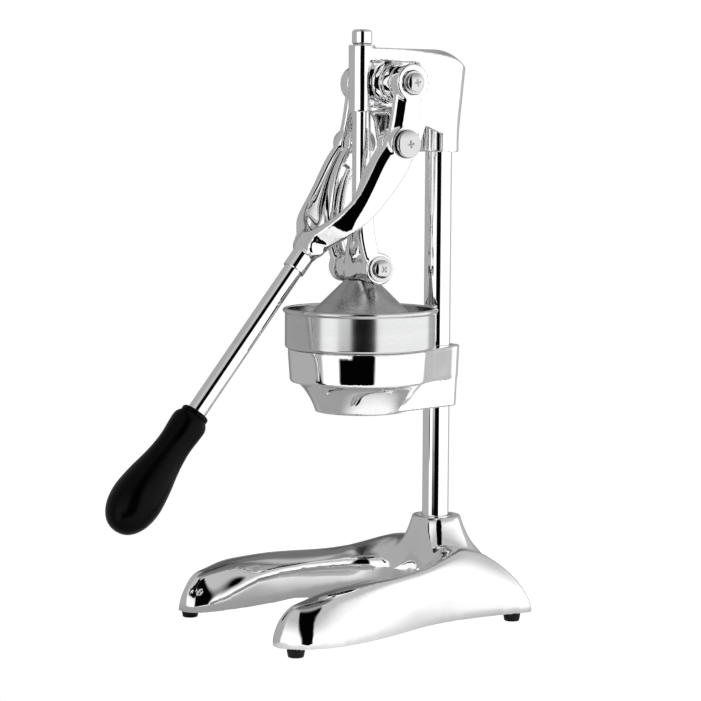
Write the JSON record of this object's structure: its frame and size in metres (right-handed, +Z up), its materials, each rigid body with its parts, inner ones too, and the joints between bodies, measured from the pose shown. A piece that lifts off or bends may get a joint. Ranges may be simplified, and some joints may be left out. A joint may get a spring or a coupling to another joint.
{
  "type": "citrus press juicer",
  "caption": "Upright hand citrus press: horseshoe base, column, juice cup with strainer, and a forked lever that drives a press cone down through links.",
  "frame": {"origin": "on the table, in the press's middle plane, halfway between the front end of the grip and the rear edge of the base with the press closed", "axes": "+X to the right as seen from the front, +Y to the back, where the column stands, +Z up along the rod and the column"},
  "size_m": [0.19, 0.3234, 0.44],
  "materials": {
    "polished_casting": "mirror-polished casting",
    "chrome_steel": "bright chrome plate",
    "stainless_steel": "spun and brushed",
    "zinc_steel": "zinc plated",
    "black_plastic": "satin moulded",
    "black_rubber": "matt moulded"
  },
  "bodies": {
    "frame": {"base": "polished_casting", "foot_front_left": "black_rubber", "foot_front_right": "black_rubber", "foot_rear_left": "black_rubber", "foot_rear_right": "black_rubber", "column": "chrome_steel", "column_washer": "zinc_steel", "column_bolt": "zinc_steel", "head": "polished_casting", "head_set_screw": "zinc_steel", "holder": "polished_casting", "holder_set_screw": "zinc_steel", "top_pivot_screw_left": "chrome_steel", "top_pivot_screw_right": "chrome_steel"},
    "lever": {"fork": "chrome_steel", "handle_bar": "chrome_steel", "grip": "black_plastic", "grip_ring": "black_plastic", "top_pivot_bush_left": "chrome_steel", "top_pivot_bush_right": "chrome_steel", "mid_pivot_washer_left": "chrome_steel", "mid_pivot_washer_right": "chrome_steel", "mid_pivot_spacer_left": "black_plastic", "mid_pivot_spacer_right": "black_plastic", "mid_pivot_screw_left": "chrome_steel", "mid_pivot_screw_right": "chrome_steel"},
    "ram": {"press_rod": "chrome_steel", "rod_cap": "chrome_steel", "crosshead": "polished_casting", "press_cone": "stainless_steel", "cone_nut": "zinc_steel", "lower_pivot_washer_left": "chrome_steel", "lower_pivot_washer_right": "chrome_steel", "lower_pivot_screw_left": "chrome_steel", "lower_pivot_screw_right": "chrome_steel"},
    "link_left": {"link_left": "chrome_steel"},
    "link_right": {"link_right": "chrome_steel"},
    "cup": {"cup": "stainless_steel", "strainer": "stainless_steel"}
  },
  "joints": [
    {"name": "lever_swing", "type": "hinge", "parent": "frame", "child": "lever", "pos_m": [0, 0.06383, 0.4013], "axis": [-1, 0, 0], "range_deg": [0, 100]},
    {"name": "ram_slide", "type": "slide", "parent": "frame", "child": "ram", "axis": [0, 0, 1], "range_m": [0, 0.06039]},
    {"name": "link_left_swing", "type": "hinge", "parent": "ram", "child": "link_left", "pos_m": [0, 0.04473, 0.266], "axis": [1, 0, 0], "range_deg": [0, 22.87]},
    {"name": "link_right_swing", "type": "hinge", "parent": "ram", "child": "link_right", "pos_m": [0, 0.04473, 0.266], "axis": [1, 0, 0], "range_deg": [0, 22.87]},
    {"name": "cup_turn", "type": "hinge", "parent": "frame", "child": "cup", "pos_m": [0, 0.04473, 0.2], "axis": [0, 0, 1], "continuous": true}
  ],
  "couplings": [
    {"joint": "ram_slide", "follows": "lever_swing", "m_per_rad": 0.034598},
    {"joint": "link_left_swing", "follows": "lever_swing", "ratio": 0.2286},
    {"joint": "link_right_swing", "follows": "lever_swing", "ratio": 0.2286}
  ]
}
